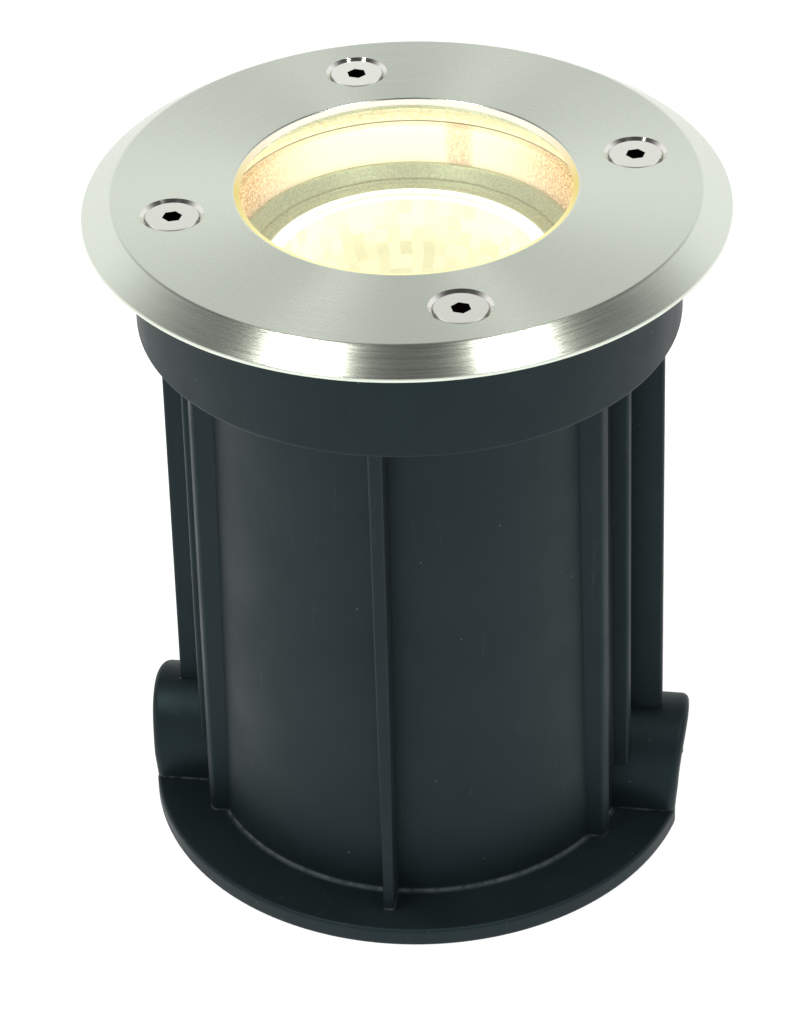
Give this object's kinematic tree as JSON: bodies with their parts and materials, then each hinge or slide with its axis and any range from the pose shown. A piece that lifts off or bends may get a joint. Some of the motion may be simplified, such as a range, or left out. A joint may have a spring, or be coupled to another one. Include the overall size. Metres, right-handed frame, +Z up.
{
  "type": "recessed outdoor spotlight",
  "caption": "Round in-ground spotlight: ribbed moulded pot with cable arches, drop-in light unit with stainless bezel, thick glass and twist-lock lamp.",
  "frame": {"origin": "centre of the foot's underside", "axes": "+Z up along the pot's axis; the two cable arches lie along X and the front rib faces -Y"},
  "size_m": [0.11, 0.11, 0.127],
  "materials": {
    "moulded_pot": "matte moulded plastic",
    "brushed_stainless": "circular brushed",
    "stainless_screw": "polished",
    "clear_glass": "polished",
    "silicone": "satin",
    "cast_aluminium": "as cast",
    "spun_ring": "satin",
    "ceramic": "unglazed ceramic",
    "brass": "satin",
    "zinc_steel": "zinc plated",
    "white_nylon": "moulded",
    "brown_sleeve": "sleeved",
    "blue_sleeve": "sleeved",
    "green_sleeve": "sleeved",
    "black_nylon": "moulded",
    "black_rubber": "matte",
    "lamp_mirror": "faceted mirror coat on glass",
    "lamp_glass": "polished",
    "lamp_ceramic": "glazed ceramic",
    "nickel_pin": "plated"
  },
  "bodies": {
    "pot": {"pot_body": "moulded_pot", "pot_collar": "moulded_pot", "pot_foot": "moulded_pot", "pot_ribs": "moulded_pot", "cable_arches": "moulded_pot"},
    "light_unit": {"lamp_canister": "cast_aluminium", "canister_rim": "cast_aluminium", "floor_posts": "cast_aluminium", "lamp_ring": "spun_ring", "lamp_holder": "ceramic", "holder_cap": "ceramic", "holder_contacts": "brass", "holder_bracket": "zinc_steel", "bracket_screws": "zinc_steel", "holder_screws": "zinc_steel", "terminal_block": "white_nylon", "terminal_tubes": "brass", "terminal_screws": "zinc_steel", "block_screw": "zinc_steel", "earth_screw": "brass", "earth_lug": "zinc_steel", "live_lead": "brown_sleeve", "neutral_lead": "blue_sleeve", "earth_lead": "green_sleeve", "gland_body": "black_nylon", "gland_washer": "black_rubber", "gland_locknut": "black_nylon", "gland_seal": "black_rubber"},
    "cover": {"bezel": "brushed_stainless", "glass_lens": "clear_glass", "glass_gasket": "silicone"},
    "front_screw": {"cover_screw_front": "stainless_screw"},
    "right_screw": {"cover_screw_right": "stainless_screw"},
    "back_screw": {"cover_screw_back": "stainless_screw"},
    "left_screw": {"cover_screw_left": "stainless_screw"},
    "lamp": {"lamp_reflector": "lamp_mirror", "lamp_cover_glass": "lamp_glass", "lamp_capsule": "lamp_glass", "lamp_base": "lamp_ceramic", "lamp_pins": "nickel_pin"},
    "clamping_nut": {"gland_nut": "black_nylon"}
  },
  "joints": [
    {"name": "unit_lift", "type": "slide", "parent": "pot", "child": "light_unit", "axis": [0, 0, 1], "range_m": [0, 0.12]},
    {"name": "cover_lift", "type": "slide", "parent": "light_unit", "child": "cover", "axis": [0, 0, 1], "range_m": [0, 0.05]},
    {"name": "front_screw_undo", "type": "slide", "parent": "cover", "child": "front_screw", "axis": [0, 0, 1], "range_m": [0, 0.014]},
    {"name": "right_screw_undo", "type": "slide", "parent": "cover", "child": "right_screw", "axis": [0, 0, 1], "range_m": [0, 0.014]},
    {"name": "back_screw_undo", "type": "slide", "parent": "cover", "child": "back_screw", "axis": [0, 0, 1], "range_m": [0, 0.014]},
    {"name": "left_screw_undo", "type": "slide", "parent": "cover", "child": "left_screw", "axis": [0, 0, 1], "range_m": [0, 0.014]},
    {"name": "lamp_twist", "type": "hinge", "parent": "light_unit", "child": "lamp", "pos_m": [0, 0, 0.07], "axis": [0, 0, 1], "range_deg": [0, 25]},
    {"name": "clamping_nut_turn", "type": "hinge", "parent": "light_unit", "child": "clamping_nut", "pos_m": [0, 0, 0.02], "axis": [0, 0, 1], "range_deg": [-720, 0]}
  ]
}
